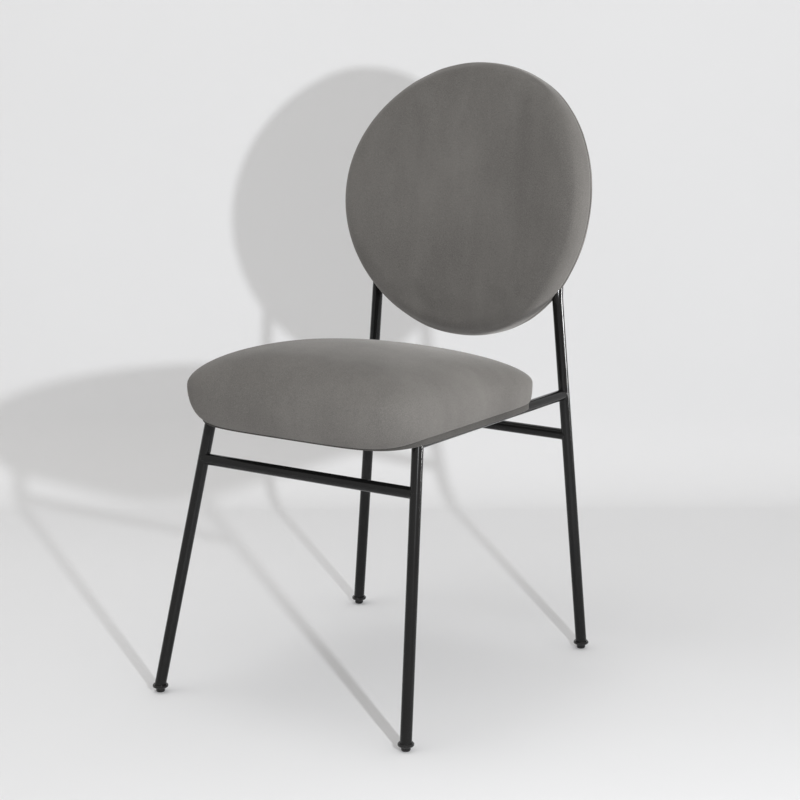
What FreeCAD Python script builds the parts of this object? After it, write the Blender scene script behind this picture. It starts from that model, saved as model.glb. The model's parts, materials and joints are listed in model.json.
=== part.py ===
import FreeCAD, Part
import math
import os
import Sketcher
from FreeCAD import Placement, Rotation, Vector

# Upholstered dining chair: a welded frame of round steel tube, a domed seat cushion
# screwed to tabs on the side rails, and a round padded backrest screwed to the rear legs.
#
# Frame: origin on the floor at the middle of the chair's outline, +Z up, +X to the right
# of somebody looking at the chair's front, the chair facing -Y.  Depths in the sheet are
# measured from the front feet; point() turns them into the chair's own Y.

doc = FreeCAD.newDocument("dining_chair")

DIMENSIONS = [
    ("frame_centre_depth", 283.2),
    # steel tube of the frame
    ("tube_diameter", 16),
    ("tube_wall", 1.5),
    ("front_foot_half_width", 206.9),
    ("front_lean_in", 0.0951),
    ("front_rake", 0.2212),
    ("rear_foot_half_width", 201.1),
    ("rear_foot_depth", 492.5),
    ("rear_lean_in", 0.0857),
    ("rear_rake", -0.01743),
    ("rear_bend_radius", 80),
    ("rear_tube_above_bend", 180),
    ("front_rail_height", 327.6),
    ("rear_rail_height", 324.5),
    # plane through the tops of the side rails, which carries the seat
    ("seat_plane_depth", 86),
    ("seat_plane_height", 399),
    ("seat_plane_slope", 0.9),
    ("side_rail_inset", 1),
    # push-in glides
    ("leg_end_height", 11.5),
    ("glide_flange_diameter", 22),
    ("glide_flange_thickness", 4.5),
    ("glide_flange_bevel", 1.2),
    ("glide_boss_diameter", 12.8),
    ("glide_floor_diameter", 8),
    ("glide_stem_diameter", 12.8),
    ("glide_stem_length", 24),
    # weld tabs and seat screws
    ("tab_thickness", 3),
    ("tab_length", 30),
    ("tab_inner_reach", 14),
    ("tab_outer_reach", 19.5),
    ("tab_corner_radius", 6),
    ("tab_hole_diameter", 6.6),
    ("seat_screw_half_spacing", 148),
    ("seat_screw_front_depth", 132),
    ("seat_screw_rear_depth", 350),
    # seat
    ("seat_half_width", 188.3),
    ("seat_front_depth", 11.3),
    ("seat_middle_depth", 211.3),
    ("seat_rear_depth", 404),
    ("seat_seam_inset", 6.9),
    ("seat_seam_drop", 1.5),
    ("seat_bulge_height", 32.9),
    ("seat_crown_height", 93),
    ("seat_taper", 0.23),
    ("seat_taper_depth", 185),
    ("seat_cover_thickness", 1.2),
    ("seat_board_clearance", 0.7),
    ("seat_board_thickness", 12),
    ("seat_board_half_width", 175.5),
    ("seat_board_front_depth", 24),
    ("seat_board_rear_depth", 391),
    ("seat_board_corner_radius", 88),
    ("band_half_width", 180),
    ("band_thickness", 1),
    ("band_drop", 8.5),
    ("band_rise", 4.5),
    ("dust_cover_gap", 0.1),
    ("dust_cover_thickness", 0.5),
    ("dust_cover_margin", 4),
    # backrest
    ("back_angle", 10.9),
    ("back_centre_depth", 510),
    ("back_centre_height", 657),
    ("back_radius", 203),
    ("back_bend_radius", 725),
    ("back_front_layer", 40),
    ("back_board_front_layer", 2.2),
    ("back_board_rear_layer", -6.8),
    ("back_seam_layer", 0),
    ("back_tube_layer", -15),
    ("back_rear_layer", -26.5),
    ("back_edge_round", 27),
    ("back_rear_edge_round", 3),
    ("back_board_radius", 198),
    ("back_cover_thickness", 1.2),
    ("back_lower_screw", 50),
    ("back_upper_screw", 150),
    # fasteners
    ("seat_screw_diameter", 6),
    ("seat_screw_head_diameter", 11),
    ("seat_screw_head_height", 3.4),
    ("seat_screw_length", 14.5),
    ("seat_nut_flange_diameter", 18),
    ("seat_nut_flange_thickness", 1.2),
    ("seat_nut_barrel_diameter", 7.8),
    ("seat_nut_barrel_length", 9),
    ("back_screw_diameter", 5),
    ("back_screw_head_diameter", 9.4),
    ("back_screw_head_height", 2.8),
    ("back_screw_length", 12),
    ("back_nut_flange_diameter", 15),
    ("back_nut_flange_thickness", 1),
    ("back_nut_barrel_diameter", 6.4),
    ("back_nut_barrel_length", 7),
    ("running_clearance", 0.2),
]

SIDES = {"left": -1, "right": 1}
EXPONENT_FRONT = 5.84
EXPONENT_REAR = 6.85

sheet = doc.addObject("Spreadsheet::Sheet", "Dimensions")
for row, (alias, value) in enumerate(DIMENSIONS, start=1):
    sheet.set(f"A{row}", alias)
    sheet.set(f"B{row}", str(value))
    sheet.setAlias(f"B{row}", alias)
doc.recompute()

nodes = {}


def dim(alias):
    """A driving dimension's value."""
    return float(getattr(sheet, alias))


def bind(target, **sizes):
    """Tie properties of an object to expressions in the sheet's aliases."""
    for name, expression in sizes.items():
        target.setExpression(name, expression)
    return target


def keep(label, target):
    """Name a finished sub-part."""
    target.Label = label
    nodes[label] = target
    return target


def point(across, depth, height):
    """A point of the chair from its depth behind the front feet."""
    return Vector(across, depth - dim("frame_centre_depth"), height)


def along(origin, direction):
    """A placement whose Z axis points along a direction."""
    return Placement(origin, Rotation(Vector(0, 0, 1), direction))


# ---------------------------------------------------------------- primitives and booleans

def cylinder(name, radius, height, placement):
    """A cylinder whose radius and height are expressions in the sheet."""
    part = doc.addObject("Part::Cylinder", name)
    bind(part, Radius=radius, Height=height)
    part.Placement = placement
    return part


def cut(name, base, *tools):
    """A base with each tool cut away in turn."""
    result = base
    for number, tool in enumerate(tools, start=1):
        trimmed = doc.addObject("Part::Cut", f"{name}_cut_{number}")
        trimmed.Base = result
        trimmed.Tool = tool
        result = trimmed
    return result


def common(name, first, second):
    part = doc.addObject("Part::Common", name)
    part.Base = first
    part.Tool = second
    return part


def fuse(name, first, second):
    part = doc.addObject("Part::Fuse", name)
    part.Base = first
    part.Tool = second
    return part


def group(name, members):
    part = doc.addObject("Part::Compound", name)
    part.Links = members
    return part


def round_edges(name, base, radius, wanted):
    """Fillet the edges of a base that the wanted test picks."""
    doc.recompute()
    fillet = doc.addObject("Part::Fillet", name)
    fillet.Base = base
    picked = [number for number, edge in enumerate(base.Shape.Edges, start=1) if wanted(edge)]
    fillet.Edges = [(number, radius, radius) for number in picked]
    return fillet


# ---------------------------------------------------------------- sketches

def origin_plane(body, role):
    return next(item for item in body.Origin.OriginFeatures if item.Role == role)


def sketch_on(body, name, role):
    """An empty sketch on one of a body's own origin planes."""
    sketch = body.newObject("Sketcher::SketchObject", name)
    sketch.AttachmentSupport = (origin_plane(body, role), [""])
    sketch.MapMode = "FlatFace"
    return sketch


def bound_circle(sketch, centre, name, radius):
    """A circle whose radius is an expression in the sheet."""
    index = sketch.addGeometry(Part.Circle(Vector(*centre, 0), Vector(0, 0, 1), 1))
    number = sketch.addConstraint(Sketcher.Constraint("Radius", index, 1))
    sketch.renameConstraint(number, name)
    sketch.setExpression(f"Constraints.{name}", radius)
    if centre == (0, 0):
        sketch.addConstraint(Sketcher.Constraint("Coincident", index, 3, -1, 1))
    return index


def closed_outline(sketch, corners):
    """Straight lines through the corners, joined end to end."""
    ends = corners[1:] + corners[:1]
    lines = [
        sketch.addGeometry(Part.LineSegment(Vector(*start, 0), Vector(*end, 0)))
        for start, end in zip(corners, ends)
    ]
    for first, second in zip(lines, lines[1:] + lines[:1]):
        sketch.addConstraint(Sketcher.Constraint("Coincident", first, 2, second, 1))
    return lines


def rounded_rectangle(sketch, low, high, radius):
    """A rectangle between two corners with every corner rounded."""
    (left, bottom), (right, top) = low, high
    centres = [
        (left + radius, bottom + radius, math.pi),
        (right - radius, bottom + radius, 1.5 * math.pi),
        (right - radius, top - radius, 0.0),
        (left + radius, top - radius, 0.5 * math.pi),
    ]
    arcs = []
    for across, up, start in centres:
        circle = Part.Circle(Vector(across, up, 0), Vector(0, 0, 1), radius)
        arcs.append(Part.ArcOfCircle(circle, start, start + 0.5 * math.pi))
    for arc, following in zip(arcs, arcs[1:] + arcs[:1]):
        sketch.addGeometry(arc)
        sketch.addGeometry(Part.LineSegment(arc.EndPoint, following.StartPoint))


# ---------------------------------------------------------------- frame

TUBE_RADIUS = "Dimensions.tube_diameter / 2"
BORE_RADIUS = "Dimensions.tube_diameter / 2 - Dimensions.tube_wall"


def front_axis(side, height):
    """Point of a front leg's axis at a height."""
    across = dim("front_foot_half_width") - dim("front_lean_in") * height
    return point(side * across, dim("front_rake") * height, height)


def rear_axis(side, height):
    """Point of a rear leg's straight lower axis at a height."""
    across = dim("rear_foot_half_width") - dim("rear_lean_in") * height
    depth = dim("rear_foot_depth") + dim("rear_rake") * height
    return point(side * across, depth, height)


def straight_rod(name, start, end, radius):
    """A solid rod between two points of a tube's axis."""
    rod = doc.addObject("Part::Cylinder", name)
    bind(rod, Radius=radius)
    rod.Height = (end - start).Length
    rod.Placement = along(start, end - start)
    return rod


def straight_tube(name, start, end, *tools):
    """A round tube between two points, trimmed by the tubes that it is welded to."""
    outside = straight_rod(f"{name}_outside", start, end, TUBE_RADIUS)
    bore = straight_rod(f"{name}_bore", start, end, BORE_RADIUS)
    return keep(name, cut(name, outside, bore, *tools))


def trimming_slab(name, bottom, height):
    """A wide slab that trims tube ends level with the floor."""
    slab = doc.addObject("Part::Box", name)
    slab.Length = 600
    slab.Width = 800
    slab.Height = height
    slab.Placement.Base = Vector(-300, -400, bottom)
    return slab


floor_slab = trimming_slab("floor_slab", dim("leg_end_height") - 60, 60)
seat_slab = trimming_slab("seat_slab", dim("seat_plane_height"), 60)

# Local frame of the seat: origin on the plane of the rail tops above the front legs.
seat_frame = Placement(
    point(0, dim("seat_plane_depth"), dim("seat_plane_height")),
    Rotation(Vector(1, 0, 0), -dim("seat_plane_slope")),
)
# Local frame of the backrest: X across, Y up the pad, Z out of its front.
back_frame = Placement(
    point(0, dim("back_centre_depth"), dim("back_centre_height")),
    Rotation(Vector(1, 0, 0), 90 - dim("back_angle")),
)


def back_sag(across):
    """How far the bent backrest comes forward of its middle at a distance across."""
    radius = dim("back_bend_radius")
    return radius - math.sqrt(radius ** 2 - across ** 2)


def bend_point(side):
    """Where a rear leg's axis reaches the layer of the backrest that holds the tubes."""
    low, high = 400.0, 700.0
    inverse = back_frame.inverse()
    while high - low > 0.001:
        middle = (low + high) / 2
        local = inverse.multVec(rear_axis(side, middle))
        if local.z - back_sag(local.x) < dim("back_tube_layer"):
            low = middle
        else:
            high = middle
    return rear_axis(side, low)


def upper_direction(side):
    """Direction of a rear leg inside the backrest, lying along the bent board."""
    local = back_frame.inverse().multVec(bend_point(side))
    lean = -side * dim("rear_lean_in")
    forward = lean * local.x / dim("back_bend_radius")
    return back_frame.Rotation.multVec(Vector(lean, 1, forward)).normalize()


def front_leg(name, side):
    start = front_axis(side, -20)
    end = front_axis(side, dim("seat_plane_height") + 40)
    straight_tube(name, start, end, floor_slab, seat_slab)


def rear_leg_stock(name, side):
    """The bent tube before its end is cut and its holes are drilled."""
    start = rear_axis(side, -20)
    bend = bend_point(side)
    lower = (bend - start).normalize()
    upper = upper_direction(side)
    inward = (upper - lower * upper.dot(lower)).normalize()
    angle = lower.getAngle(upper)
    radius = dim("rear_bend_radius")
    setback = radius * math.tan(angle / 2)
    run = (bend - start).Length - setback

    body = doc.addObject("PartDesign::Body", f"{name}_stock")
    body.Placement = Placement(start, Rotation(inward, lower.cross(inward), lower, "ZXY"))

    ring = sketch_on(body, f"{name}_section", "XY_Plane")
    bound_circle(ring, (0, 0), "outside", TUBE_RADIUS)
    bound_circle(ring, (0, 0), "inside", BORE_RADIUS)

    path = sketch_on(body, f"{name}_path", "XZ_Plane")
    centre = Vector(radius, run, 0)
    circle = Part.Circle(centre, Vector(0, 0, 1), radius)
    arc = Part.ArcOfCircle(circle, math.pi - angle, math.pi)
    bend_end = arc.StartPoint
    heading = Vector(math.sin(angle), math.cos(angle), 0)
    tail = bend_end + heading * (dim("rear_tube_above_bend") - setback)
    lines = [
        path.addGeometry(Part.LineSegment(Vector(0, 0, 0), Vector(0, run, 0))),
        path.addGeometry(arc),
        path.addGeometry(Part.LineSegment(bend_end, tail)),
    ]
    path.addConstraint(Sketcher.Constraint("Coincident", lines[0], 1, -1, 1))
    path.addConstraint(Sketcher.Constraint("Tangent", lines[0], 2, lines[1], 2))
    path.addConstraint(Sketcher.Constraint("Tangent", lines[1], 1, lines[2], 1))
    number = path.addConstraint(Sketcher.Constraint("Radius", lines[1], radius))
    path.renameConstraint(number, "bend")
    path.setExpression("Constraints.bend", "Dimensions.rear_bend_radius")

    pipe = body.newObject("PartDesign::AdditivePipe", f"{name}_pipe")
    pipe.Profile = ring
    pipe.Spine = (path, ["Edge1", "Edge2", "Edge3"])
    body.Tip = pipe
    return body


def back_screw_frame(side, distance):
    """Frame of a backrest screw: on the tube's axis, Z square to the bent board."""
    place = bend_point(side) + upper_direction(side) * distance
    local = back_frame.inverse().multVec(place)
    normal = Vector(-local.x, 0, dim("back_bend_radius") - local.z)
    return along(place, back_frame.Rotation.multVec(normal))


back_screw_frames = [
    back_screw_frame(side, dim(distance))
    for side in SIDES.values()
    for distance in ("back_lower_screw", "back_upper_screw")
]


def turned_over(frame):
    """The same frame with its Z axis pointing the other way."""
    return frame.multiply(Placement(Vector(0, 0, 0), Rotation(Vector(1, 0, 0), 180)))


def rear_leg(name, side):
    """A rear leg with a screw hole towards the board and an access hole behind it."""
    drills = []
    for number, distance in enumerate(("back_lower_screw", "back_upper_screw"), start=1):
        frame = back_screw_frame(side, dim(distance))
        hole = "Dimensions.back_screw_diameter / 2 + Dimensions.running_clearance"
        access = "Dimensions.back_screw_head_diameter / 2 + 3 * Dimensions.running_clearance"
        reach = "Dimensions.tube_diameter"
        drills.append(cylinder(f"{name}_hole_{number}", hole, reach, frame))
        drills.append(cylinder(f"{name}_access_{number}", access, reach, turned_over(frame)))
    keep(name, cut(name, rear_leg_stock(name, side), floor_slab, *drills))


for word, side in SIDES.items():
    front_leg(f"front_leg_{word}", side)
    rear_leg(f"rear_leg_{word}", side)

front_cores = {}
rear_cores = {}
for word, side in SIDES.items():
    top = dim("seat_plane_height") + 40
    front_cores[word] = straight_rod(
        f"front_core_{word}", front_axis(side, 200), front_axis(side, top), TUBE_RADIUS)
    rear_cores[word] = straight_rod(
        f"rear_core_{word}", rear_axis(side, 200), rear_axis(side, top), TUBE_RADIUS)

straight_tube(
    "front_rail",
    front_axis(-1, dim("front_rail_height")), front_axis(1, dim("front_rail_height")),
    front_cores["left"], front_cores["right"])
straight_tube(
    "rear_rail",
    rear_axis(-1, dim("rear_rail_height")), rear_axis(1, dim("rear_rail_height")),
    rear_cores["left"], rear_cores["right"])


def side_rail_end(side, axis, depth):
    """End of a side rail's axis, a tube radius under the seat plane."""
    slope = math.radians(dim("seat_plane_slope"))
    radius = dim("tube_diameter") / 2
    drop = (depth - dim("seat_plane_depth")) * math.tan(slope) + radius / math.cos(slope)
    height = dim("seat_plane_height") - drop
    end = axis(side, height)
    return Vector(end.x - side * dim("side_rail_inset"), end.y, height)


rail_ends = {}
for word, side in SIDES.items():
    front_depth = dim("seat_plane_depth")
    rear_depth = dim("rear_foot_depth") + dim("rear_rake") * dim("seat_plane_height")
    rail_ends[word] = (
        side_rail_end(side, front_axis, front_depth),
        side_rail_end(side, rear_axis, rear_depth),
    )
    straight_tube(f"side_rail_{word}", *rail_ends[word], front_cores[word], rear_cores[word])


# ---------------------------------------------------------------- weld tabs

def weld_tab(name, side, rail, depth):
    """A flat steel tab under the seat board, its outer edge fitted to the side rail."""
    body = doc.addObject("PartDesign::Body", f"{name}_blank")
    hole_place = Vector(side * dim("seat_screw_half_spacing"), depth - dim("seat_plane_depth"), 0)
    body.Placement = seat_frame.multiply(Placement(hole_place, Rotation()))
    half = dim("tab_length") / 2
    inner = -side * dim("tab_inner_reach")
    outer = side * dim("tab_outer_reach")
    plate = sketch_on(body, f"{name}_outline", "XY_Plane")
    rounded_rectangle(
        plate, (min(inner, outer), -half), (max(inner, outer), half), dim("tab_corner_radius"))
    bound_circle(plate, (0, 0), "hole", "Dimensions.tab_hole_diameter / 2")
    pad = body.newObject("PartDesign::Pad", f"{name}_plate")
    pad.Profile = plate
    pad.Reversed = True
    bind(pad, Length="Dimensions.tab_thickness")
    body.Tip = pad
    return keep(name, cut(name, body, rail))


screw_depths = {"front": dim("seat_screw_front_depth"), "rear": dim("seat_screw_rear_depth")}
for word, side in SIDES.items():
    rail_core = straight_rod(f"side_core_{word}", *rail_ends[word], TUBE_RADIUS)
    for place, depth in screw_depths.items():
        weld_tab(f"seat_tab_{place}_{word}", side, rail_core, depth)


# ---------------------------------------------------------------- glides

def glide(name, side, axis):
    """A push-in glide: domed foot, bevelled flange and a stem along the leg's bore."""
    top = dim("leg_end_height")
    bottom = top - dim("glide_flange_thickness")
    flange = dim("glide_flange_diameter") / 2
    boss = dim("glide_boss_diameter") / 2
    floor = dim("glide_floor_diameter") / 2
    bevel = dim("glide_flange_bevel")
    foot = axis(side, top)

    body = doc.addObject("PartDesign::Body", name)
    body.Placement = Placement(Vector(foot.x, foot.y, 0), Rotation())
    profile = sketch_on(body, f"{name}_profile", "XZ_Plane")
    closed_outline(profile, [
        (0, 0), (floor, 0), (boss - 0.7, 0.7), (boss, 2.2), (boss, bottom),
        (flange - bevel, bottom), (flange, bottom + bevel), (flange, top - bevel),
        (flange - bevel, top), (0, top),
    ])
    turned = body.newObject("PartDesign::Revolution", f"{name}_foot")
    turned.Profile = profile
    turned.ReferenceAxis = (profile, ["V_Axis"])
    turned.Angle = 360
    body.Tip = turned
    doc.recompute()

    stem = body.newObject("PartDesign::AdditiveCylinder", f"{name}_stem")
    bind(stem, Radius="Dimensions.glide_stem_diameter / 2", Height="Dimensions.glide_stem_length")
    direction = axis(side, top + 100) - foot
    stem.Placement = along(Vector(0, 0, top - 2), direction)
    body.Tip = stem
    keep(name, body)


for word, side in SIDES.items():
    glide(f"front_glide_{word}", side, front_axis)
    glide(f"rear_glide_{word}", side, rear_axis)


# ---------------------------------------------------------------- seat

def seat_outline(half_width, inset, squareness, plane):
    """A closed curve round the seat: a superellipse with its own front and rear halves.

    plane(depth) gives the curve's height at a depth, so that a section may be tilted.
    """
    middle = dim("seat_middle_depth") - dim("seat_plane_depth")
    margin = dim("seat_half_width") - half_width + inset
    across = dim("seat_half_width") - margin
    front = dim("seat_middle_depth") - dim("seat_front_depth") - margin
    rear = dim("seat_rear_depth") - dim("seat_middle_depth") - margin
    points = []
    steps = 48
    for step in range(steps):
        angle = 2 * math.pi * (step + 0.5) / steps
        ahead = math.cos(angle) > 0
        power = 2 + ((EXPONENT_FRONT if ahead else EXPONENT_REAR) - 2) * squareness
        length = front if ahead else rear
        side = abs(math.sin(angle))
        end = abs(math.cos(angle))
        reach = ((side / across) ** power + (end / length) ** power) ** (-1 / power)
        depth = middle - reach * math.cos(angle)
        points.append(Vector(reach * math.sin(angle), depth, plane(depth)))
    curve = Part.BSplineCurve()
    curve.interpolate(points, PeriodicFlag=True)
    return Part.Wire(curve.toShape())


def cushion(shrink, bottom):
    """The domed cushion, thicker at the front, shrunk all round by a skin's thickness.

    It starts at bottom, a height in the seat's frame at or under the seam.
    """
    seam = -dim("seat_seam_drop")
    bulge = dim("seat_bulge_height")
    crown = dim("seat_crown_height")
    inset = dim("seat_seam_inset")
    steep = dim("seat_half_width") - 25
    taper_depth = dim("seat_taper_depth") - dim("seat_plane_depth")

    def tapered(height):
        """A section's plane: heights over the seam grow towards the front."""
        return lambda depth: seam + height * (1 - dim("seat_taper") * (depth - taper_depth) / 200)

    sections = [seat_outline(dim("seat_half_width") - shrink, inset, 1, lambda depth: bottom)]
    for turn in (0.35, 0.7, 1.0):
        angle = turn * math.pi / 2
        pulled = inset * (1 - math.sin(angle))
        height = bulge * (1 - math.cos(angle))
        sections.append(seat_outline(
            dim("seat_half_width") - shrink, pulled, 1, tapered(height)))
    for turn in (0.2, 0.4, 0.57, 0.72, 0.84, 0.93):
        angle = turn * math.pi / 2
        fall = 1 - math.cos(angle) ** 0.75
        height = bulge + (crown - bulge - shrink) * math.sin(angle)
        sections.append(seat_outline(
            dim("seat_half_width") - shrink, steep * fall, 1 - 0.75 * fall, tapered(height)))
    return Part.makeLoft(sections, True, False)


def seat_piece(name, shape):
    """A seat sub-part whose shape is worked out in the seat's frame."""
    part = doc.addObject("Part::Feature", name)
    part.Shape = shape
    part.Placement = seat_frame
    return keep(name, part)


def seat_prism(half_width, bottom, top):
    outline = seat_outline(half_width, 0, 1, lambda depth: bottom)
    return Part.Face(outline).extrude(Vector(0, 0, top - bottom))


seam_height = -dim("seat_seam_drop")
board_bottom = dim("seat_board_clearance")
board_top = board_bottom + dim("seat_board_thickness")
skin = dim("seat_cover_thickness")
gap = dim("running_clearance")

cover_shape = cushion(0, seam_height).cut(cushion(skin, seam_height - 5))
seat_piece("seat_cover", cover_shape)

foam_block = Part.makeBox(600, 600, 200, Vector(-300, -200, board_top + gap))
seat_piece("seat_foam", cushion(skin + gap, seam_height).common(foam_block))


def seat_band():
    """The stiff velvet-covered band under the seam, notched where the rails leave it."""
    band = dim("band_half_width")
    low, high = -dim("band_drop"), dim("band_rise")
    inside = seat_prism(band - dim("band_thickness"), low - 1, high + 1)
    ring = seat_prism(band, low, high).cut(inside)
    inverse = seat_frame.inverse()
    for start, end in rail_ends.values():
        first, last = inverse.multVec(start), inverse.multVec(end)
        notch = Part.makeCylinder(
            dim("tube_diameter") / 2 + 2 * gap, (last - first).Length, first, last - first)
        ring = ring.cut(notch)
    return ring


seat_piece("seat_band", seat_band())


def board_body(name, margin, bottom, thickness, hole):
    """A flat sheet with the seat board's outline, less a margin, and four screw holes."""
    body = doc.addObject("PartDesign::Body", f"{name}_body")
    body.Placement = seat_frame.multiply(Placement(Vector(0, 0, bottom), Rotation()))
    outline = sketch_on(body, f"{name}_outline", "XY_Plane")
    half = dim("seat_board_half_width") - margin
    front = dim("seat_board_front_depth") - dim("seat_plane_depth") + margin
    rear = dim("seat_board_rear_depth") - dim("seat_plane_depth") - margin
    rounded_rectangle(outline, (-half, front), (half, rear), dim("seat_board_corner_radius"))
    for number, (across, depth) in enumerate(seat_screw_places, start=1):
        bound_circle(outline, (across, depth), f"hole_{number}", hole)
    pad = body.newObject("PartDesign::Pad", f"{name}_sheet")
    pad.Profile = outline
    bind(pad, Length=thickness)
    body.Tip = pad
    return body


seat_screw_places = [
    (side * dim("seat_screw_half_spacing"), depth - dim("seat_plane_depth"))
    for side in SIDES.values()
    for depth in screw_depths.values()
]


def seat_board():
    """The plywood board, counterbored for the flanges of its tee nuts."""
    body = board_body(
        "seat_board", 0, board_bottom, "Dimensions.seat_board_thickness",
        "Dimensions.seat_nut_barrel_diameter / 2 + Dimensions.running_clearance / 2")
    doc.recompute()
    plain_volume = body.Shape.Volume
    seats = sketch_on(body, "seat_board_counterbores", "XY_Plane")
    for number, place in enumerate(seat_screw_places, start=1):
        bound_circle(
            seats, place, f"seat_{number}",
            "Dimensions.seat_nut_flange_diameter / 2 + Dimensions.running_clearance")
    seats.AttachmentOffset = Placement(Vector(0, 0, dim("seat_board_thickness")), Rotation())
    pocket = body.newObject("PartDesign::Pocket", "seat_board_flange_seats")
    pocket.Profile = seats
    bind(pocket, Length="Dimensions.seat_nut_flange_thickness")
    body.Tip = pocket
    doc.recompute()
    if body.Shape.Volume >= plain_volume:
        raise RuntimeError("the tee-nut counterbores cut nothing")
    keep("seat_board", body)


seat_board()
keep("seat_dust_cover", board_body(
    "seat_dust_cover", dim("dust_cover_margin"), dim("dust_cover_gap"),
    "Dimensions.dust_cover_thickness",
    "Dimensions.seat_nut_barrel_diameter / 2 + Dimensions.running_clearance"))


# ---------------------------------------------------------------- fasteners

def screw(name, kind, frame):
    """A pan-head socket screw: its head's underside is at the frame's origin, shank along Z."""
    over = f"Dimensions.{kind}_screw"
    head_frame = turned_over(frame)
    head = cylinder(
        f"{name}_head", f"{over}_head_diameter / 2", f"{over}_head_height", head_frame)
    shank = cylinder(f"{name}_shank", f"{over}_diameter / 2", f"{over}_length", frame)
    socket = doc.addObject("Part::Prism", f"{name}_socket")
    socket.Polygon = 6
    bind(
        socket, Circumradius=f"{over}_diameter * 0.36",
        Height=f"{over}_head_height")
    half_head = Vector(0, 0, dim(f"{kind}_screw_head_height") / 2)
    socket.Placement = head_frame.multiply(Placement(half_head, Rotation()))
    return cut(name, fuse(f"{name}_blank", head, shank), socket)


def tee_nut(name, kind, frame):
    """A tee nut: its flange's outer face is at the frame's origin, barrel along -Z."""
    over = f"Dimensions.{kind}_nut"
    down = turned_over(frame)
    flange = cylinder(
        f"{name}_flange", f"{over}_flange_diameter / 2", f"{over}_flange_thickness", down)
    barrel = cylinder(
        f"{name}_barrel", f"{over}_barrel_diameter / 2",
        f"{over}_flange_thickness + {over}_barrel_length", down)
    bore = cylinder(
        f"{name}_bore", f"Dimensions.{kind}_screw_diameter / 2 + 0.05",
        f"{over}_flange_thickness + {over}_barrel_length", down)
    return cut(name, fuse(f"{name}_blank", flange, barrel), bore)


def lifted(frame, height):
    """A frame moved along its own Z axis."""
    return frame.multiply(Placement(Vector(0, 0, height), Rotation()))


seat_hole_frames = [
    seat_frame.multiply(Placement(Vector(across, depth, 0), Rotation()))
    for across, depth in seat_screw_places
]
keep("seat_screws", group("seat_screw_group", [
    screw(f"seat_screw_{number}", "seat", lifted(frame, -dim("tab_thickness") - 0.05))
    for number, frame in enumerate(seat_hole_frames, start=1)
]))
keep("seat_tee_nuts", group("seat_nut_group", [
    tee_nut(f"seat_nut_{number}", "seat", lifted(frame, board_top))
    for number, frame in enumerate(seat_hole_frames, start=1)
]))

# The flat underside of a round head touches the curved bore at its rim.
bore = dim("tube_diameter") / 2 - dim("tube_wall")
head_seat = math.sqrt(bore ** 2 - (dim("back_screw_head_diameter") / 2) ** 2) - 0.05
board_front = dim("back_board_front_layer") - dim("back_tube_layer")
keep("back_screws", group("back_screw_group", [
    screw(f"back_screw_{number}", "back", lifted(frame, head_seat))
    for number, frame in enumerate(back_screw_frames, start=1)
]))
keep("back_tee_nuts", group("back_nut_group", [
    tee_nut(f"back_nut_{number}", "back", lifted(frame, board_front))
    for number, frame in enumerate(back_screw_frames, start=1)
]))


# ---------------------------------------------------------------- backrest

def bent_disc(name, radius, rear, front):
    """A round piece cut from a sheet bent across the back, between two of its layers.

    It is built in the backrest's frame.  A layer is a distance in front of the board's
    middle surface; the bend's axis lies in front of the backrest, along its Y.
    """
    bend = dim("back_bend_radius")
    reach = 2 * radius + 20
    on_axis = Placement(Vector(0, reach / 2, bend), Rotation(Vector(1, 0, 0), 90))
    outer = doc.addObject("Part::Cylinder", f"{name}_bend_rear")
    outer.Radius = bend - rear
    inner = doc.addObject("Part::Cylinder", f"{name}_bend_front")
    inner.Radius = bend - front
    for part in (outer, inner):
        part.Height = reach
        part.Placement = on_axis
    disc = doc.addObject("Part::Cylinder", f"{name}_disc")
    disc.Radius = radius
    disc.Height = 200
    disc.Placement = Placement(Vector(0, 0, -60), Rotation())
    return common(f"{name}_blank", disc, cut(f"{name}_sheet", outer, inner))


def front_rim(front):
    """Picks the edges round the front face of a bent disc."""
    return lambda edge: edge.BoundBox.ZMin > front - 1


def rear_rim(rear, radius):
    """Picks the edges round the rear face of a bent disc."""
    return lambda edge: (
        edge.BoundBox.ZMax < rear + back_sag(radius) + 1 and edge.BoundBox.DiagonalLength > radius)


def in_back_frame(name, target):
    """Put a finished backrest piece in its place on the chair."""
    target.Placement = back_frame
    return keep(name, target)


front = dim("back_front_layer")
rear = dim("back_rear_layer")
radius = dim("back_radius")
cloth = dim("back_cover_thickness")
board_face = dim("back_board_front_layer")
board_back = dim("back_board_rear_layer")
seam = dim("back_seam_layer")
front_round = dim("back_edge_round")
rear_round = dim("back_rear_edge_round")

to_back = back_frame.inverse()


def board_drill(name, size, depth, number, frame):
    """A hole square to the bent board, down from its front face."""
    local = to_back.multiply(turned_over(lifted(frame, board_front)))
    return cylinder(f"{name}_{number}", size, depth, local)


barrel_hole = "Dimensions.back_nut_barrel_diameter / 2 + Dimensions.running_clearance / 2"
flange_hole = "Dimensions.back_nut_flange_diameter / 2 + Dimensions.running_clearance"
board_drills = []
for number, frame in enumerate(back_screw_frames, start=1):
    board_drills.append(board_drill(
        "back_board_hole", barrel_hole, "Dimensions.tube_diameter", number, frame))
    board_drills.append(board_drill(
        "back_board_seat", flange_hole, "Dimensions.back_nut_flange_thickness", number, frame))
board_blank = bent_disc("back_board", dim("back_board_radius"), board_back, board_face)
in_back_frame("back_board", cut("back_board", board_blank, *board_drills))

front_skin = round_edges(
    "front_skin", bent_disc("back_cover_front", radius, seam, front),
    front_round, front_rim(front))
front_hollow = round_edges(
    "front_hollow", bent_disc("front_hollow", radius - cloth, seam - 5, front - cloth),
    front_round - cloth, front_rim(front - cloth))
in_back_frame("back_cover_front", cut("back_cover_front", front_skin, front_hollow))

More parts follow.
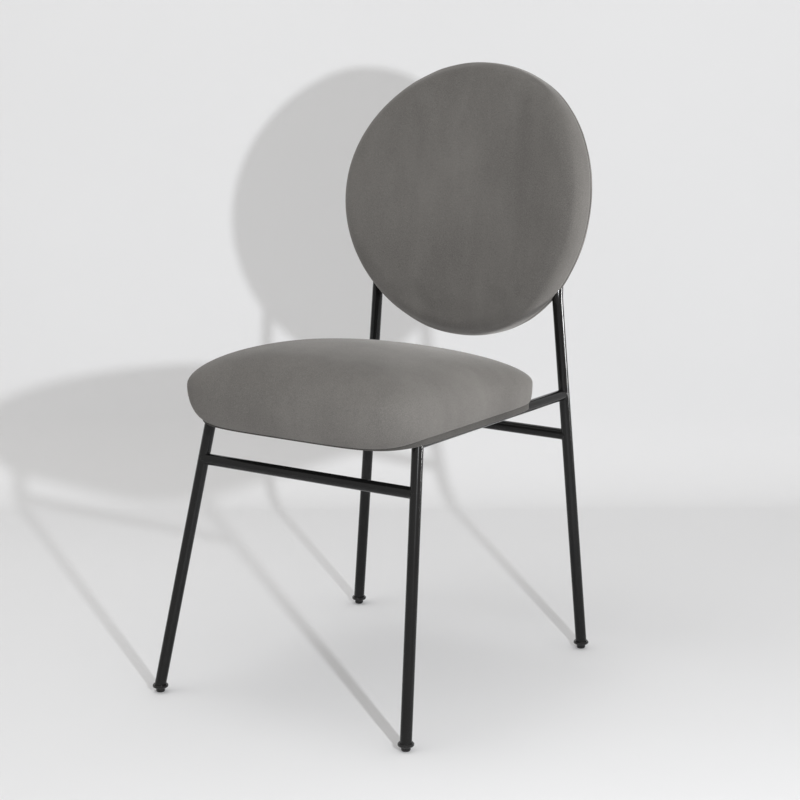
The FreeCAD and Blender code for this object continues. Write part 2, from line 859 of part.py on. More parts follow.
foam_front = round_edges(
    "foam_front",
    bent_disc("back_foam_front", radius - cloth - gap, seam, front - cloth - gap),
    front_round - cloth - gap, front_rim(front - cloth - gap))
board_space = bent_disc(
    "board_space", dim("back_board_radius") + gap, seam - 5, board_face + gap)
in_back_frame("back_foam_front", cut("back_foam_front", foam_front, board_space))


def groove(name, side, below, above, depth):
    """A square groove along a rear leg, open towards the board.

    It runs from below to above the leg's bend, and is cut to a depth behind the tube's axis.
    """
    bend = bend_point(side)
    upper = upper_direction(side)
    normal = back_screw_frame(side, 0).Rotation.multVec(Vector(0, 0, 1))
    width = dim("tube_diameter") + 4 * dim("running_clearance")
    box = doc.addObject("Part::Box", name)
    box.Length = width
    box.Width = below + above
    box.Height = depth + 40
    corner = Placement(Vector(-width / 2, -below, -depth), Rotation())
    axes = Placement(bend, Rotation(Vector(1, 0, 0), upper, normal, "YZX"))
    box.Placement = to_back.multiply(axes).multiply(corner)
    return box


foam_grooves = []
cover_notches = []
rim_reach = 60
for word, side in SIDES.items():
    foam_grooves.append(groove(
        f"foam_groove_{word}", side, 0, dim("rear_tube_above_bend") + 2,
        dim("tube_diameter") / 2 + gap))
    foam_grooves.append(groove(f"foam_entry_{word}", side, rim_reach, 4, 20))
    cover_notches.append(groove(
        f"cover_notch_{word}", side, rim_reach, 10, dim("tube_diameter") / 2 + 2))

foam_rear = bent_disc(
    "back_foam_rear", radius - 2 * cloth, rear + cloth + gap, board_back - gap)
in_back_frame("back_foam_rear", cut("back_foam_rear", foam_rear, *foam_grooves))

rear_skin = round_edges(
    "rear_skin", bent_disc("back_cover_rear", radius - cloth / 2, rear, seam - gap),
    rear_round, rear_rim(rear, radius - cloth / 2))
rear_hollow = bent_disc(
    "rear_hollow", radius - 2 * cloth + gap, rear + cloth, seam + 5)
in_back_frame("back_cover_rear", cut(
    "back_cover_rear", rear_skin, rear_hollow, *cover_notches))


# ---------------------------------------------------------------- check and write

doc.recompute()
for item in doc.Objects:
    if "Invalid" in item.State or "Error" in item.State:
        raise RuntimeError(f"{item.Name} failed: {item.State}")
for label, item in nodes.items():
    if item.Shape.isNull() or not item.Shape.isValid():
        raise RuntimeError(f"{label} has no valid shape")

os.makedirs("parts", exist_ok=True)
for label, item in nodes.items():
    item.Shape.exportStep(os.path.join("parts", f"{label}.step"))

whole = FreeCAD.BoundBox()
for label, item in sorted(nodes.items()):
    box = item.Shape.BoundBox
    whole.add(box)
    print(f"{label:22s} solids {len(item.Shape.Solids)} volume {item.Shape.Volume:12.1f} "
          f"x {box.XMin:7.1f} {box.XMax:7.1f} y {box.YMin:7.1f} {box.YMax:7.1f} "
          f"z {box.ZMin:7.1f} {box.ZMax:7.1f}")
print(f"{len(nodes)} sub-parts, x {whole.XMin:.2f} {whole.XMax:.2f} "
      f"y {whole.YMin:.2f} {whole.YMax:.2f} z {whole.ZMin:.2f} {whole.ZMax:.2f}")
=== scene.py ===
import json
import math

import bpy
import numpy as np
from mathutils import Matrix, Vector


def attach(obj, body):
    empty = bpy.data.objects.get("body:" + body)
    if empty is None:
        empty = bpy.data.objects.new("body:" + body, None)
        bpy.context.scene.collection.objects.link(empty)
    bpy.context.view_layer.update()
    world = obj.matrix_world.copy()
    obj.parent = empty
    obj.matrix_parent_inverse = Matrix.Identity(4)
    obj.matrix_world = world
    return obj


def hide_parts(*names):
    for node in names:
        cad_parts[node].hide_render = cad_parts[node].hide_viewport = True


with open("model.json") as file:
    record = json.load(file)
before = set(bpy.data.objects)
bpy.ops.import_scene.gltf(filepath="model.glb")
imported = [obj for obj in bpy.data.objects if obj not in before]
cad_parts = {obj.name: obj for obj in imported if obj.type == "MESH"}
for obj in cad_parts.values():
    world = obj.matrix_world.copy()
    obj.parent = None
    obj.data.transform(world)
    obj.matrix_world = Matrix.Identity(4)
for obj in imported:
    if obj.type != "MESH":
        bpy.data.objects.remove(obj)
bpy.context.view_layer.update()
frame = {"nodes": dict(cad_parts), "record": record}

# Looks of the dining chair: velvet cushions with their seams, the powder-coated tube frame
# with its weld beads, glossy glides, and the plywood, cloth and screws underneath.
# Lengths are metres in the chair's own frame, which has the chair facing -Y.

MM = 0.001

# Local frame of the seat: on the plane through the tops of the side rails.
SEAT_ORIGIN = Vector((0, -197.2, 399)) * MM
SEAT_SLOPE = math.radians(0.9)
SEAT_FRAME = Matrix.Translation(SEAT_ORIGIN) @ Matrix.Rotation(-SEAT_SLOPE, 4, "X")

# Local frame of the backrest: X across, Y up the pad, Z out of its front.
BACK_ORIGIN = Vector((0, 226.8, 657)) * MM
BACK_TILT = math.radians(79.1)
BACK_FRAME = Matrix.Translation(BACK_ORIGIN) @ Matrix.Rotation(BACK_TILT, 4, "X")
BACK_BEND_RADIUS = 725 * MM


# ---------------------------------------------------------------- meshes

def add_mesh(name, vertices, faces, material, place=Matrix()):
    """A smooth-shaded object from vertices in a local frame."""
    mesh = bpy.data.meshes.new(name)
    mesh.from_pydata([tuple(v) for v in vertices], [], [tuple(f) for f in faces])
    mesh.transform(place)
    mesh.validate()
    mesh.shade_smooth()
    mesh.materials.append(material)
    piece = bpy.data.objects.new(name, mesh)
    bpy.context.scene.collection.objects.link(piece)
    return piece


def subdivide(piece):
    """Smooth a piece with one level of subdivision, applied to its mesh."""
    modifier = piece.modifiers.new("smooth", "SUBSURF")
    modifier.levels = 1
    modifier.render_levels = 1
    graph = bpy.context.evaluated_depsgraph_get()
    made = bpy.data.meshes.new_from_object(piece.evaluated_get(graph), depsgraph=graph)
    piece.modifiers.clear()
    piece.data = made


def smooth_step(start, end, value):
    """0 before start, 1 after end, and a smooth rise between them."""
    t = np.clip((value - start) / (end - start), 0, 1)
    return t * t * (3 - 2 * t)


# ---------------------------------------------------------------- cushions

# Squareness of a cushion's grid at its middle; it eases to the outline's own at the rim.
GRID_POWER = 9.0


class Outline:
    """A rounded outline round a centre: superellipse halves that share their width."""

    def __init__(self, across, front, rear, power_front, power_rear, centre=0.0):
        self.across = across
        self.front = front
        self.rear = rear
        self.power_front = power_front
        self.power_rear = power_rear
        self.centre = centre

    def place(self, a, b, scale=1.0, power=None, blend=0.0):
        """Plan position of square-edge points, shrunk to a scale.

        The outline's own powers give way to another power as blend goes from 0 to 1.
        """
        own = np.where(b < 0, self.power_front, self.power_rear)
        power = own if power is None else own + (power - own) * blend
        length = np.where(b < 0, self.front, self.rear)
        reach = (np.abs(a) ** power + np.abs(b) ** power) ** (-1 / power)
        return scale * reach * a * self.across, scale * reach * b * length + self.centre

    def scale_of(self, x, y, power):
        """The scale at which an outline of a power runs through points in plan."""
        y = y - self.centre
        length = np.where(y < 0, self.front, self.rear)
        return (np.abs(x / self.across) ** power + np.abs(y / length) ** power) ** (1 / power)


def square_edge(cells, even):
    """Points (a, b) round the edge of the square -1..1, cells to a side."""
    t = spread(cells, even)[:-1]
    one = np.ones(cells)
    return np.concatenate([t, one, -t, -one]), np.concatenate([-one, t, one, -t])


def spread(cells, even):
    """Points from -1 to 1; even makes them equal angles as seen from the centre."""
    t = np.linspace(-1, 1, cells + 1)
    return t * (1 - even) + np.tan(t * math.pi / 4) * even


def plan_grid(outline, cells, even, scale, power):
    """Plan positions of a square grid that fills an outline of a scale and power."""
    t = spread(cells, even)
    grid_a, grid_b = [part.ravel() for part in np.meshgrid(t, t)]
    size = np.maximum(np.abs(grid_a), np.abs(grid_b))
    safe = np.where(size > 0, size, 1)
    edge_a = np.where(size > 0, grid_a / safe, 1.0)
    edge_b = np.where(size > 0, grid_b / safe, 0.0)
    square = power + (GRID_POWER - power) * (1 - size)
    return outline.place(edge_a, edge_b, size * scale, square, 1.0)


def grid_faces(cells, start):
    """Quads of a square grid of vertices, row by row."""
    side = cells + 1
    return [
        (start + row * side + col, start + row * side + col + 1,
         start + (row + 1) * side + col + 1, start + (row + 1) * side + col)
        for row in range(cells) for col in range(cells)
    ]


def grid_border(cells, start):
    """Vertex numbers round a square grid, in square_edge's order."""
    side = cells + 1
    bottom = [start + col for col in range(cells)]
    right = [start + row * side + cells for row in range(cells)]
    top = [start + cells * side + cells - col for col in range(cells)]
    left = [start + (cells - row) * side for row in range(cells)]
    return bottom + right + top + left


def ring_faces(lower, upper):
    """Quads between two rings of vertices, facing out when lower is the outer or lower one."""
    following = np.roll(np.arange(len(lower)), -1)
    return [(lower[i], lower[j], upper[j], upper[i]) for i, j in enumerate(following)]


def closed_cushion(cells, top, rings, bottom):
    """Vertices and faces of a cushion: top grid, rings from it down and in, bottom grid."""
    faces = grid_faces(cells, 0)
    last = grid_border(cells, 0)
    start = len(top)
    for ring in rings:
        current = list(range(start, start + len(ring)))
        faces += ring_faces(current, last)
        last = current
        start += len(ring)
    faces += ring_faces(grid_border(cells, start), last)
    faces += [tuple(reversed(face)) for face in grid_faces(cells, start)]
    return np.concatenate([top, *rings, bottom]), faces


PAD_FRAMES = 20
PAD_PRESSURE = 4.0
PAD_CAP = 2.5 * MM
PAD_QUALITY = 5
PAD_TENSION = 60
PAD_SHEAR = 30
PAD_BENDING = 4
# Rings that are sewn down at the end of a cushion, from the seam inwards.
SEWN_RINGS = 4


def inflate(piece, sewn):
    """Let a cushion's skin settle as cloth under air pressure.

    The last vertices, sewn of them, are held; the others may move by up to PAD_CAP.
    """
    rest = np.array([v.co for v in piece.data.vertices])
    group = piece.vertex_groups.new(name="sewn")
    group.add(list(range(len(rest) - sewn, len(rest))), 1.0, "REPLACE")
    cloth = piece.modifiers.new("cloth", "CLOTH")
    settings = cloth.settings
    settings.quality = PAD_QUALITY
    settings.use_pressure = True
    settings.uniform_pressure_force = PAD_PRESSURE
    settings.tension_stiffness = PAD_TENSION
    settings.compression_stiffness = PAD_TENSION
    settings.shear_stiffness = PAD_SHEAR
    settings.bending_stiffness = PAD_BENDING
    settings.effector_weights.gravity = 0
    settings.vertex_group_mass = "sewn"
    cloth.collision_settings.use_collision = False
    cloth.point_cache.frame_start = 1
    cloth.point_cache.frame_end = PAD_FRAMES
    scene = bpy.context.scene
    for number in range(1, PAD_FRAMES + 1):
        scene.frame_set(number)
    solved = piece.evaluated_get(bpy.context.evaluated_depsgraph_get())
    moved = np.array([v.co for v in solved.to_mesh().vertices]) - rest
    solved.to_mesh_clear()
    piece.modifiers.clear()
    piece.vertex_groups.clear()
    scene.frame_set(1)
    far = np.linalg.norm(moved, axis=1)[:, None]
    moved *= PAD_CAP * np.tanh(far / PAD_CAP) / np.maximum(far, 1e-9)
    for vertex, place in zip(piece.data.vertices, rest + moved):
        vertex.co = place
    piece.data.update()


# ---------------------------------------------------------------- materials

class Nodes:
    """Short way to write a node material."""

    def __init__(self, name):
        self.material = bpy.data.materials.new(name)
        self.material.use_nodes = True
        self.tree = self.material.node_tree
        self.shader = self.tree.nodes["Principled BSDF"]

    def add(self, kind, inputs=None, **settings):
        node = self.tree.nodes.new(kind)
        for key, value in settings.items():
            setattr(node, key, value)
        for key, value in (inputs or {}).items():
            if isinstance(value, bpy.types.NodeSocket):
                self.tree.links.new(value, node.inputs[key])
            else:
                node.inputs[key].default_value = value
        return node

    def set(self, **values):
        for key, value in values.items():
            self.shader.inputs[key.replace("_", " ")].default_value = value

    def link(self, output, name):
        self.tree.links.new(output, self.shader.inputs[name])

    def position(self):
        return self.add("ShaderNodeTexCoord").outputs["Object"]

    def noise(self, scale, detail=2.0, rough=0.5, vector=None):
        inputs = {"Scale": scale, "Detail": detail, "Roughness": rough}
        inputs["Vector"] = vector if vector is not None else self.position()
        return self.add("ShaderNodeTexNoise", inputs).outputs["Fac"]

    def stretched(self, scale):
        return self.add(
            "ShaderNodeMapping", {"Vector": self.position(), "Scale": scale}).outputs["Vector"]

    def mix(self, first, second, factor):
        node = self.add("ShaderNodeMix", data_type="RGBA")
        self.tree.links.new(factor, node.inputs["Factor"])
        node.inputs["A"].default_value = (*first, 1)
        node.inputs["B"].default_value = (*second, 1)
        return node.outputs["Result"]

    def ramp(self, value, low, high):
        return self.add(
            "ShaderNodeMapRange",
            {"Value": value, "From Min": low, "From Max": high}).outputs["Result"]

    def math(self, operation, first, second):
        return self.add("ShaderNodeMath", {0: first, 1: second}, operation=operation).outputs[0]

    def bump(self, height, strength, distance, normal=None):
        inputs = {"Height": height, "Strength": strength, "Distance": distance}
        if normal is not None:
            inputs["Normal"] = normal
        return self.add("ShaderNodeBump", inputs).outputs["Normal"]


def velvet(name, dark, light, sheen):
    """Short-pile velvet: brushed nap patches, fine pile grain and an edge sheen."""
    m = Nodes(name)
    nap = m.noise(9.0, 3.0, 0.55, m.stretched((1.0, 1.0, 0.45)))
    streak = m.noise(55.0, 2.0, 0.6, m.stretched((1.0, 1.0, 0.18)))
    grain = m.noise(900.0, 2.0, 0.7)
    blend = m.math("ADD", m.math("MULTIPLY", nap, 0.32), m.math("MULTIPLY", streak, 0.08))
    blend = m.math("ADD", blend, m.math("MULTIPLY", grain, 0.6))
    m.link(m.mix(dark, light, m.ramp(blend, 0.38, 0.62)), "Base Color")
    m.set(Roughness=0.95, Specular_IOR_Level=0.12)
    m.set(Sheen_Weight=sheen, Sheen_Roughness=0.42, Sheen_Tint=(0.93, 0.91, 0.88, 1))
    fine = m.bump(grain, 0.35, 0.0004)
    m.link(m.bump(m.noise(170.0, 2.0, 0.6), 0.12, 0.0008, fine), "Normal")
    return m.material


def powder_coat(name):
    """Black powder coat: a fine orange-peel skin with slight gloss changes."""
    m = Nodes(name)
    peel = m.noise(620.0, 2.0, 0.5)
    patch = m.noise(14.0, 3.0, 0.5)
    m.link(m.mix((0.004, 0.004, 0.0042), (0.009, 0.0088, 0.0086), patch), "Base Color")
    m.link(m.add("ShaderNodeMapRange", {
        "Value": m.noise(45.0, 3.0), "To Min": 0.13, "To Max": 0.19}).outputs["Result"],
        "Roughness")
    m.link(m.bump(peel, 0.12, 0.0003), "Normal")
    m.set(Specular_IOR_Level=0.28)
    return m.material


def moulded_plastic(name):
    """Glossy black moulded plastic with faint scuffs."""
    m = Nodes(name)
    m.link(m.mix((0.006, 0.006, 0.0065), (0.014, 0.0135, 0.013), m.noise(30.0)), "Base Color")
    m.link(m.add("ShaderNodeMapRange", {
        "Value": m.noise(160.0, 4.0, 0.65), "To Min": 0.12, "To Max": 0.3}).outputs["Result"],
        "Roughness")
    m.link(m.bump(m.noise(240.0), 0.05, 0.0003), "Normal")
    m.set(Specular_IOR_Level=0.35)
    return m.material


def plywood(name):
    m = Nodes(name)
    rings = m.noise(14.0, 6.0, 0.6, m.stretched((9.0, 0.7, 1.0)))
    m.link(m.mix((0.42, 0.29, 0.17), (0.62, 0.47, 0.31), m.ramp(rings, 0.3, 0.7)), "Base Color")
    m.set(Roughness=0.7)
    m.link(m.bump(rings, 0.2, 0.0003), "Normal")
    return m.material


def foam(name):
    m = Nodes(name)
    cells = m.noise(420.0, 4.0, 0.7)
    m.link(m.mix((0.62, 0.58, 0.46), (0.8, 0.77, 0.66), cells), "Base Color")
    m.set(Roughness=0.9)
    m.link(m.bump(cells, 0.5, 0.0006), "Normal")
    return m.material


def dust_cloth(name):
    m = Nodes(name)
    fibres = m.noise(800.0, 3.0, 0.75)
    m.link(m.mix((0.012, 0.012, 0.012), (0.035, 0.034, 0.033), fibres), "Base Color")
    m.set(Roughness=0.95)
    m.link(m.bump(fibres, 0.4, 0.0003), "Normal")
    return m.material


def zinc(name):
    m = Nodes(name)
    brushed = m.noise(300.0, 4.0, 0.7)
    m.link(m.mix((0.5, 0.5, 0.49), (0.68, 0.68, 0.66), brushed), "Base Color")
    m.link(m.add("ShaderNodeMapRange", {
        "Value": brushed, "To Min": 0.28, "To Max": 0.5}).outputs["Result"], "Roughness")
    m.set(Metallic=1.0)
    return m.material


# The seat's velvet is the same fabric as the backrest's but painted about 6% lighter: painted
# light that makes up for its weaker sheen.
SEAT_VELVET = velvet("seat_velvet", (0.105, 0.0995, 0.0935), (0.171, 0.163, 0.153), 0.18)
BACK_VELVET = velvet("back_velvet", (0.099, 0.0935, 0.088), (0.161, 0.1535, 0.144), 0.32)
# The band is the same velvet as the seat but painted about half as bright: painted shade for the
# shadow under the cushion's overhang and in its seam.
SHADED_BAND_VELVET = velvet("band_velvet_painted_shade", (0.055, 0.052, 0.049), (0.095, 0.091, 0.086), 0.15)
FRAME_BLACK = powder_coat("frame_black")
GLIDE_BLACK = moulded_plastic("glide_black")
node_materials = {
    "frame_black": FRAME_BLACK,
    "glide_black": GLIDE_BLACK,
    "plywood": plywood("plywood"),
    "foam": foam("foam"),
    "dust_cloth": dust_cloth("dust_cloth"),
    "zinc_steel": zinc("zinc_steel"),
    "seat_velvet": SEAT_VELVET,
    "back_velvet": BACK_VELVET,
    "velvet_band": SHADED_BAND_VELVET,
}
for part in frame["record"]["subparts"]:
    for socket in frame["nodes"][part["node"]].material_slots:
        socket.material = node_materials[part["material_slot"]]


# ---------------------------------------------------------------- seat

SEAT_CENTRE = 125.3 * MM
SEAT_BULGE = 35.2 * MM
SEAT_EDGE_HEIGHT = 72.3 * MM
SEAT_CROWN = 11.2 * MM
SEAT_DOME = 9.1 * MM
SEAT_EDGE_SCALE = 0.62
SEAT_EDGE_POWER = 1.63
SEAT_INNER_POWER = 2.2
SEAT_TAPER = 0.20
SEAT_TAPER_CENTRE = 99 * MM
SEAM_SIDE = -0.4 * MM
SEAM_FRONT = -11.8 * MM
BOARD_LEVEL = 5 * MM
SEAT_CELLS = 40
SEAT_EDGE_RINGS = 17
SEAT_SIDE_TURNS = (1.0, 0.92, 0.84, 0.76, 0.68, 0.6, 0.5, 0.4, 0.3, 0.2, 0.1, 0.0)
# Scale, and lift in mm, of the rings that turn in under the seam.
SEAT_UNDER_RINGS = ((0.988, -0.3), (0.965, 0.4))
SEAT_TUCK_SCALE = 0.95
SEAT_BOTTOM_SCALE = 0.9
SEAT_BOTTOM_POWER = 4.0
LEG_TOP_Y = 0 * MM
LEG_EASE = 3.2 * MM
LEG_EASE_LENGTH = 34 * MM

widest = Outline(188.3 * MM, 200 * MM, 191.2 * MM, 6.84, 7.2, SEAT_CENTRE)
seam_line = Outline(180.9 * MM, 186 * MM, 190 * MM, 4.8, 7.98, SEAT_CENTRE)


def seam_at(a, b, scale=1.0):
    """The seam line in plan, eased out round the tops of the front legs."""
    x, y = seam_line.place(a, b, scale)
    near = np.exp(-((y - LEG_TOP_Y) / LEG_EASE_LENGTH) ** 2)
    return x * (1 + near * LEG_EASE / seam_line.across), y


def wedge(y):
    """Heights over the seam grow towards the front."""
    return 1 - SEAT_TAPER * (y - SEAT_TAPER_CENTRE) / (200 * MM)


def front_share(y):
    """0 along the sides, 1 along the front edge."""
    return smooth_step(0.55, 0.95, (SEAT_CENTRE - y) / widest.front)


def seam_level(y):
    return SEAM_SIDE + (SEAM_FRONT - SEAM_SIDE) * front_share(y)


def seat_top(x, y):
    inner = widest.scale_of(x, y, SEAT_INNER_POWER) / SEAT_EDGE_SCALE
    height = SEAT_EDGE_HEIGHT + SEAT_CROWN + SEAT_DOME * (1 - inner ** 2)
    return SEAM_SIDE + height * wedge(y)


def seat_edge_ring(a, b, turn):
    """A ring of the rounded top edge: turn 0 at the widest line, 1 at the flatter top."""
    scale = 1 - (1 - SEAT_EDGE_SCALE) * turn
    x, y = widest.place(a, b, scale, SEAT_INNER_POWER, turn)
    rise = math.sqrt(1 - (1 - turn) ** SEAT_EDGE_POWER)
    height = SEAT_BULGE + (SEAT_EDGE_HEIGHT - SEAT_BULGE) * rise + SEAT_CROWN * turn
    return np.column_stack([x, y, SEAM_SIDE + height * wedge(y)])


def seat_side_ring(a, b, turn):
    """A ring of the side: turn 1 at the widest line, 0 at the seam."""
    angle = turn * math.pi / 2
    out = math.sin(angle)
    x0, y0 = seam_at(a, b)
    x1, y1 = widest.place(a, b)
    x, y = x0 + (x1 - x0) * out, y0 + (y1 - y0) * out
    base = seam_level(y0) * (1 - out) + SEAM_SIDE * out
    height = SEAT_BULGE * (1 - math.cos(angle))
    return np.column_stack([x, y, base + height * wedge(y)])


def make_seat():
    a, b = square_edge(SEAT_CELLS, 0.0)
    x, y = plan_grid(widest, SEAT_CELLS, 0.0, SEAT_EDGE_SCALE, SEAT_INNER_POWER)
    top = np.column_stack([x, y, seat_top(x, y)])
    turns = 1 - np.cos(np.linspace(0.0, math.pi / 2, SEAT_EDGE_RINGS + 2)[1:-1])
    rings = [seat_edge_ring(a, b, turn) for turn in turns[::-1]]
    rings += [seat_side_ring(a, b, turn) for turn in SEAT_SIDE_TURNS]
    for scale, lift in SEAT_UNDER_RINGS:
        x, y = seam_at(a, b, scale)
        rings.append(np.column_stack([x, y, seam_level(y) + lift * MM]))
    x, y = seam_at(a, b, SEAT_TUCK_SCALE)
    rings.append(np.column_stack([x, y, np.full_like(x, BOARD_LEVEL)]))
    x, y = plan_grid(seam_line, SEAT_CELLS, 0.0, SEAT_BOTTOM_SCALE, SEAT_BOTTOM_POWER)
    bottom = np.column_stack([x, y, np.full_like(x, BOARD_LEVEL)])
    vertices, faces = closed_cushion(SEAT_CELLS, top, rings, bottom)
    seat = add_mesh("seat_cushion", vertices, faces, SEAT_VELVET, SEAT_FRAME)
    inflate(seat, len(bottom) + SEWN_RINGS * len(a))
    subdivide(seat)
    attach(seat, "root")
    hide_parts("seat_cover", "seat_foam")


# The band's section: outward offset in mm, and share of the band's drop.
BAND_SECTION = [(-5.0, 0.05), (-1.4, 0.0), (-0.5, 0.1), (-0.1, 0.4), (0.3, 0.75), (0.5, 0.92),
                (0.1, 1.0), (-0.6, 0.97), (-0.9, 0.7), (-1.0, 0.3), (-5.0, 0.2)]
BAND_CELLS = 120
BAND_SIDE_DROP = 8.5 * MM
BAND_FRONT_DROP = 1.3 * MM


def make_band():
    """The band under the seam: a folded strip with a rounded, slightly flared lower edge."""
    a, b = square_edge(BAND_CELLS, 0.0)
    x0, y0 = seam_at(a, b)
    x1, y1 = seam_at(a, b, 0.9)
    across, along = x0 - x1, y0 - y1
    size = np.hypot(across, along)
    nx, ny = across / size, along / size
    drop = BAND_SIDE_DROP + (BAND_FRONT_DROP - BAND_SIDE_DROP) * front_share(y0)
    rings = [
        np.column_stack([
            x0 + offset * MM * nx, y0 + offset * MM * ny, seam_level(y0) - down * drop])
        for offset, down in BAND_SECTION
    ]
    numbers = np.arange(len(rings) * len(a)).reshape(len(rings), len(a)).tolist()
    faces = []
    for ring, following in zip(numbers, numbers[1:] + numbers[:1]):
        faces += ring_faces(following, ring)
    band = add_mesh("seat_seam_band", np.concatenate(rings), faces, SHADED_BAND_VELVET, SEAT_FRAME)
    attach(band, "root")
    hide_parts("seat_band")


make_seat()
make_band()


# ---------------------------------------------------------------- backrest

BACK_RADIUS = 202.7 * MM
BACK_SEAM = -10 * MM
BACK_WIDEST = -1.3 * MM
BACK_FRONT = 35.1 * MM
BACK_FRONT_EDGE = 25.8 * MM
BACK_FRONT_DOME = 5 * MM
BACK_REAR_WIDEST = -14 * MM
BACK_REAR = -25.5 * MM
BACK_REAR_EDGE = 10 * MM
BACK_REAR_DOME = 1.5 * MM
BACK_REAR_INSET = 1.0 * MM
BACK_EDGE_POWER = 2.5
BACK_CELLS = 32
BACK_FACE_SCALE = 0.55
BACK_INSIDE_SCALE = 0.93
BACK_INSIDE_GAP = 1.5 * MM

# Insets of the rings between a face and its rim, and (inset, layer) of the rings from the
# rim to the seam, in mm.
BACK_FRONT_INSETS = [82, 74, 66, 58, 51, 44, 38, 33, 29, 25.8, 22.5, 19, 15.5, 12.2, 9.2, 6.6,
                     4.4, 2.7, 1.4, 0.5]
BACK_REAR_INSETS = [82, 72, 62, 52, 43, 35, 28, 22, 17, 13.5, 11, 9, 7.2, 5.6, 4.2, 3.1, 2.2,
                    1.5]
BACK_FRONT_RIM = [(0.0, -1.3), (0.05, -3.2), (0.2, -5.2), (0.55, -7.2), (1.1, -8.8),
                  (2.0, -9.8), (3.4, -9.9), (7, -9.3)]
BACK_REAR_RIM = [(1.0, -14), (1.05, -13), (1.15, -12), (1.4, -11.1), (2.0, -10.3),
                 (3.4, -10.1), (7, -10.7)]

back_outline = Outline(BACK_RADIUS, BACK_RADIUS, BACK_RADIUS, 2, 2)


def bent(x, layer):
    """Height of a layer of the backrest, which is bent across its width."""
    return layer + BACK_BEND_RADIUS - np.sqrt(BACK_BEND_RADIUS ** 2 - x ** 2)


def rounded_edge(inset, width):
    """Rises from 0 at the rim to 1 a width inside it."""
    rim = np.clip(1 - inset / width, 0, 1)
    return (1 - rim ** BACK_EDGE_POWER) ** (1 / BACK_EDGE_POWER)


def rim_inset(x, y):
    return np.clip(BACK_RADIUS - np.hypot(x, y), 0, BACK_RADIUS)


def back_front(x, y):
    inset = rim_inset(x, y)
    dome = BACK_FRONT_DOME * (1 - (1 - inset / BACK_RADIUS) ** 2)
    edge = (BACK_FRONT - BACK_WIDEST) * rounded_edge(inset, BACK_FRONT_EDGE)
    return bent(x, BACK_WIDEST + edge + dome)


def back_rear(x, y):
    inset = np.maximum(rim_inset(x, y) - BACK_REAR_INSET, 0)
    dome = BACK_REAR_DOME * (1 - (1 - inset / BACK_RADIUS) ** 2)
    edge = (BACK_REAR_WIDEST - BACK_REAR) * rounded_edge(inset, BACK_REAR_EDGE)
    return bent(x, BACK_REAR_WIDEST - edge - dome)


def make_back_half(name, top, insets, rim, replaced, facing):
    """One half of the backrest; facing is 1 for the front half and -1 for the rear one."""
    a, b = square_edge(BACK_CELLS, 1.0)
    x, y = plan_grid(back_outline, BACK_CELLS, 1.0, BACK_FACE_SCALE, 2.0)
    face = np.column_stack([x, y, top(x, y)])
    rings = []
    for inset in insets:
        x, y = back_outline.place(a, b, 1 - inset * MM / BACK_RADIUS)
        rings.append(np.column_stack([x, y, top(x, y)]))
    for inset, layer in rim:
        x, y = back_outline.place(a, b, 1 - inset * MM / BACK_RADIUS)
        rings.append(np.column_stack([x, y, bent(x, layer * MM)]))
    x, y = plan_grid(back_outline, BACK_CELLS, 1.0, BACK_INSIDE_SCALE, 2.0)
    inside = np.column_stack([x, y, bent(x, BACK_SEAM + facing * BACK_INSIDE_GAP)])
    vertices, faces = closed_cushion(BACK_CELLS, face, rings, inside)
    if facing < 0:
        faces = [tuple(reversed(corners)) for corners in faces]
    piece = add_mesh(name, vertices, faces, BACK_VELVET, BACK_FRAME)
    inflate(piece, len(inside) + SEWN_RINGS * len(a))
    subdivide(piece)
    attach(piece, "root")
    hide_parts(*replaced)


make_back_half("back_cushion_front", back_front, BACK_FRONT_INSETS, BACK_FRONT_RIM,
               ("back_cover_front", "back_foam_front"), 1)
make_back_half("back_cushion_rear", back_rear, BACK_REAR_INSETS, BACK_REAR_RIM,
               ("back_cover_rear", "back_foam_rear"), -1)


# ---------------------------------------------------------------- weld beads

TUBE_RADIUS = 8 * MM
BEAD_RADIUS = 1.3 * MM
BEAD_SINK = 0.4 * MM
BEAD_STEPS = 72
BEAD_SIDES = 8
BEAD_HEIGHT = 0.8
BEAD_WIDTH = 1.25

# The frame's centre lines in mm, as in the CAD: half widths at the floor, their change with
# height, and depths behind the front feet.
FRONT_LEG_HALF_WIDTH = 206.9
FRONT_LEG_SPLAY = 0.0951
FRONT_LEG_LEAN = 0.2212
REAR_LEG_HALF_WIDTH = 201.1
REAR_LEG_SPLAY = 0.0857
REAR_LEG_DEPTH = 492.5
REAR_LEG_LEAN = 0.01743
RAIL_HEIGHTS = {"front": 327.6, "rear": 324.5}
SIDE_RAIL_INSET = 1
FOOT_TO_CENTRE = 283.2
SEAT_PLANE_DEPTH = 86
SEAT_PLANE_HEIGHT = 399
# Heights of two points on a leg, round a rail's bead and round a side rail's bead.
RAIL_BEAD_SPAN = (300, 360)
SIDE_BEAD_SPAN = (360, 420)


def front_leg_point(side, height):
    half_width = FRONT_LEG_HALF_WIDTH - FRONT_LEG_SPLAY * height
    return Vector((side * half_width, FRONT_LEG_LEAN * height - FOOT_TO_CENTRE, height))


def rear_leg_depth(height):
    return REAR_LEG_DEPTH - REAR_LEG_LEAN * height


def rear_leg_point(side, height):
    half_width = REAR_LEG_HALF_WIDTH - REAR_LEG_SPLAY * height
    return Vector((side * half_width, rear_leg_depth(height) - FOOT_TO_CENTRE, height))


def side_rail_point(side, leg_point, depth):
    """Where a side rail's centre line ends, under the seat's plane."""
    fall = (depth - SEAT_PLANE_DEPTH) * math.tan(SEAT_SLOPE)
    drop = fall + TUBE_RADIUS / MM / math.cos(SEAT_SLOPE)
    end = leg_point(side, SEAT_PLANE_HEIGHT - drop)
    return Vector((end.x - side * SIDE_RAIL_INSET, end.y, end.z))


